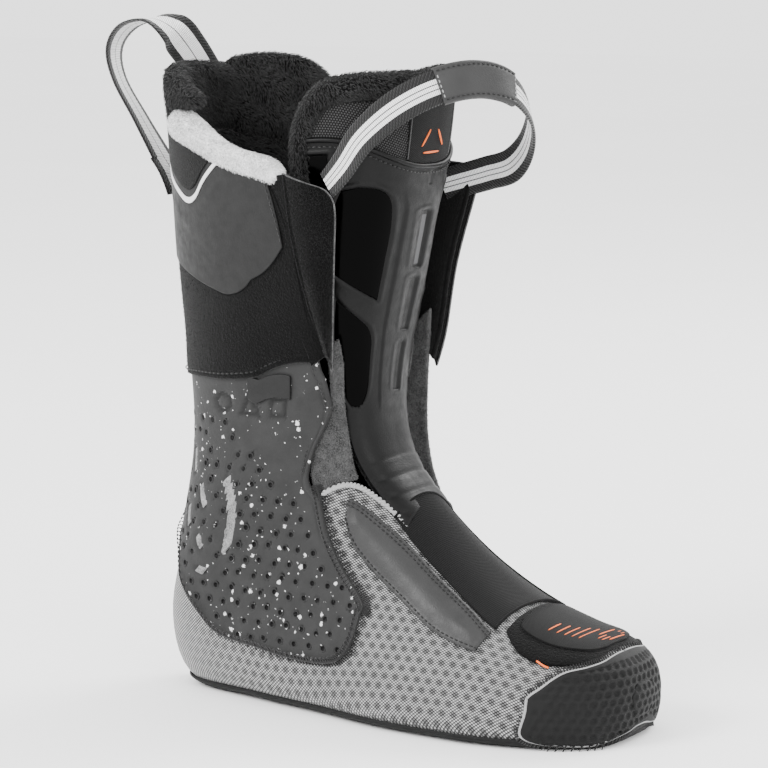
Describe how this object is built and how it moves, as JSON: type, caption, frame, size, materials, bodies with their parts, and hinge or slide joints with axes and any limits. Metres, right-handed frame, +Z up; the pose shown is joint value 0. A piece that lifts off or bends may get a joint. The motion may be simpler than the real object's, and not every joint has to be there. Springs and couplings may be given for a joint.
{
  "type": "ski boot liner",
  "caption": "Removable padded inner boot for a right-foot ski boot, with a stiff tongue, a soft collar, an elastic instep and webbing pull loops.",
  "frame": {"origin": "on the flat underside of the sole, below the front of the ankle", "axes": "+X towards the toe, +Y towards the inner side of the leg, +Z up along the cuff"},
  "size_m": [0.327, 0.1347, 0.3573],
  "materials": {
    "sole_rubber": "matt dark-grey sole foam rubber",
    "board": "stiff insole board",
    "footbed_fabric": "brushed footbed cover",
    "knit": "grey two-tone knit mesh",
    "foam": "closed-cell foam",
    "lining_fabric": "brushed lining fabric",
    "toe_fabric": "black fabric with pressed dimples",
    "black_felt": "black felt",
    "ribbed_fabric": "ribbed elastic fabric",
    "synthetic_leather": "satin synthetic leather",
    "moulded_foam": "moulded foam with pale flecks",
    "grey_felt": "grey felt",
    "loop_fleece": "brushed loop fleece",
    "yoke_synthetic": "smooth grey synthetic",
    "white_trim": "white printed trim",
    "white_fleece": "white fleece",
    "black_plush": "short black plush",
    "tongue_plastic": "satin moulded tongue shell",
    "gloss_plastic": "glossy black plastic",
    "webbing": "white webbing with black edges"
  },
  "bodies": {
    "boot": {"outsole": "sole_rubber", "sole_board": "board", "footbed": "footbed_fabric", "lower_upper": "knit", "lower_padding": "foam", "lining": "lining_fabric", "toe_cap": "toe_fabric", "toe_stretch_insert": "black_felt", "toe_label_flap": "synthetic_leather", "instep_elastic": "ribbed_fabric", "instep_panel_outer": "synthetic_leather", "instep_panel_inner": "synthetic_leather", "ankle_shell_outer": "moulded_foam", "ankle_shell_inner": "moulded_foam", "ankle_gusset_outer": "grey_felt", "ankle_gusset_inner": "grey_felt", "throat_binding_outer": "knit", "throat_binding_inner": "knit", "vent_slit_inserts": "grey_felt", "size_tag": "synthetic_leather", "cuff_foam": "foam", "cuff_lining": "lining_fabric", "cuff_wrap": "loop_fleece", "cuff_yoke": "yoke_synthetic", "rear_patch": "black_felt", "chevron_trim": "white_trim", "collar_trim_outer": "white_fleece", "collar_trim_inner": "white_fleece", "collar_plush": "black_plush", "tongue_tail_shell": "tongue_plastic", "tongue_tail_foam": "foam", "rear_loop_base": "webbing"},
    "flap_outer": {"flap_foam_outer": "foam", "flap_wrap_outer": "loop_fleece", "flap_lining_outer": "lining_fabric"},
    "flap_inner": {"flap_foam_inner": "foam", "flap_wrap_inner": "loop_fleece", "flap_lining_inner": "lining_fabric"},
    "tongue": {"tongue_shell": "tongue_plastic", "tongue_foam": "foam", "tongue_plush": "black_plush", "tongue_mesh": "ribbed_fabric", "tongue_top_roll": "black_plush", "tongue_windows_outer": "gloss_plastic", "tongue_windows_inner": "gloss_plastic", "tongue_slot_inserts": "tongue_plastic", "tongue_label": "synthetic_leather"},
    "tongue_loop": {"tongue_loop_strap": "webbing", "tongue_loop_sleeve": "synthetic_leather"},
    "rear_loop": {"rear_loop_strap": "webbing"}
  },
  "joints": [
    {"name": "tongue_hinge", "type": "hinge", "parent": "boot", "child": "tongue", "pos_m": [0.004, 0, 0.129], "axis": [0, 1, 0], "range_deg": [0, 40], "stiffness_Nm_per_rad": 0.15},
    {"name": "flap_outer_hinge", "type": "hinge", "parent": "boot", "child": "flap_outer", "pos_m": [-0.0262, -0.0533, 0.2328], "axis": [0.1152, 0.2072, -0.9715], "range_deg": [0, 30], "stiffness_Nm_per_rad": 0.05},
    {"name": "flap_inner_hinge", "type": "hinge", "parent": "boot", "child": "flap_inner", "pos_m": [-0.0262, 0.0553, 0.2328], "axis": [-0.1152, 0.2092, 0.9711], "range_deg": [0, 30], "stiffness_Nm_per_rad": 0.05},
    {"name": "tongue_loop_swing", "type": "hinge", "parent": "tongue", "child": "tongue_loop", "pos_m": [0, 0, 0.275], "axis": [0, 1, 0], "range_deg": [-8, 40], "stiffness_Nm_per_rad": 0.06},
    {"name": "rear_loop_swing", "type": "hinge", "parent": "boot", "child": "rear_loop", "pos_m": [-0.138, 0, 0.262], "axis": [0.1381, 0, 0.9904], "range_deg": [-25, 25], "stiffness_Nm_per_rad": 0.03}
  ]
}
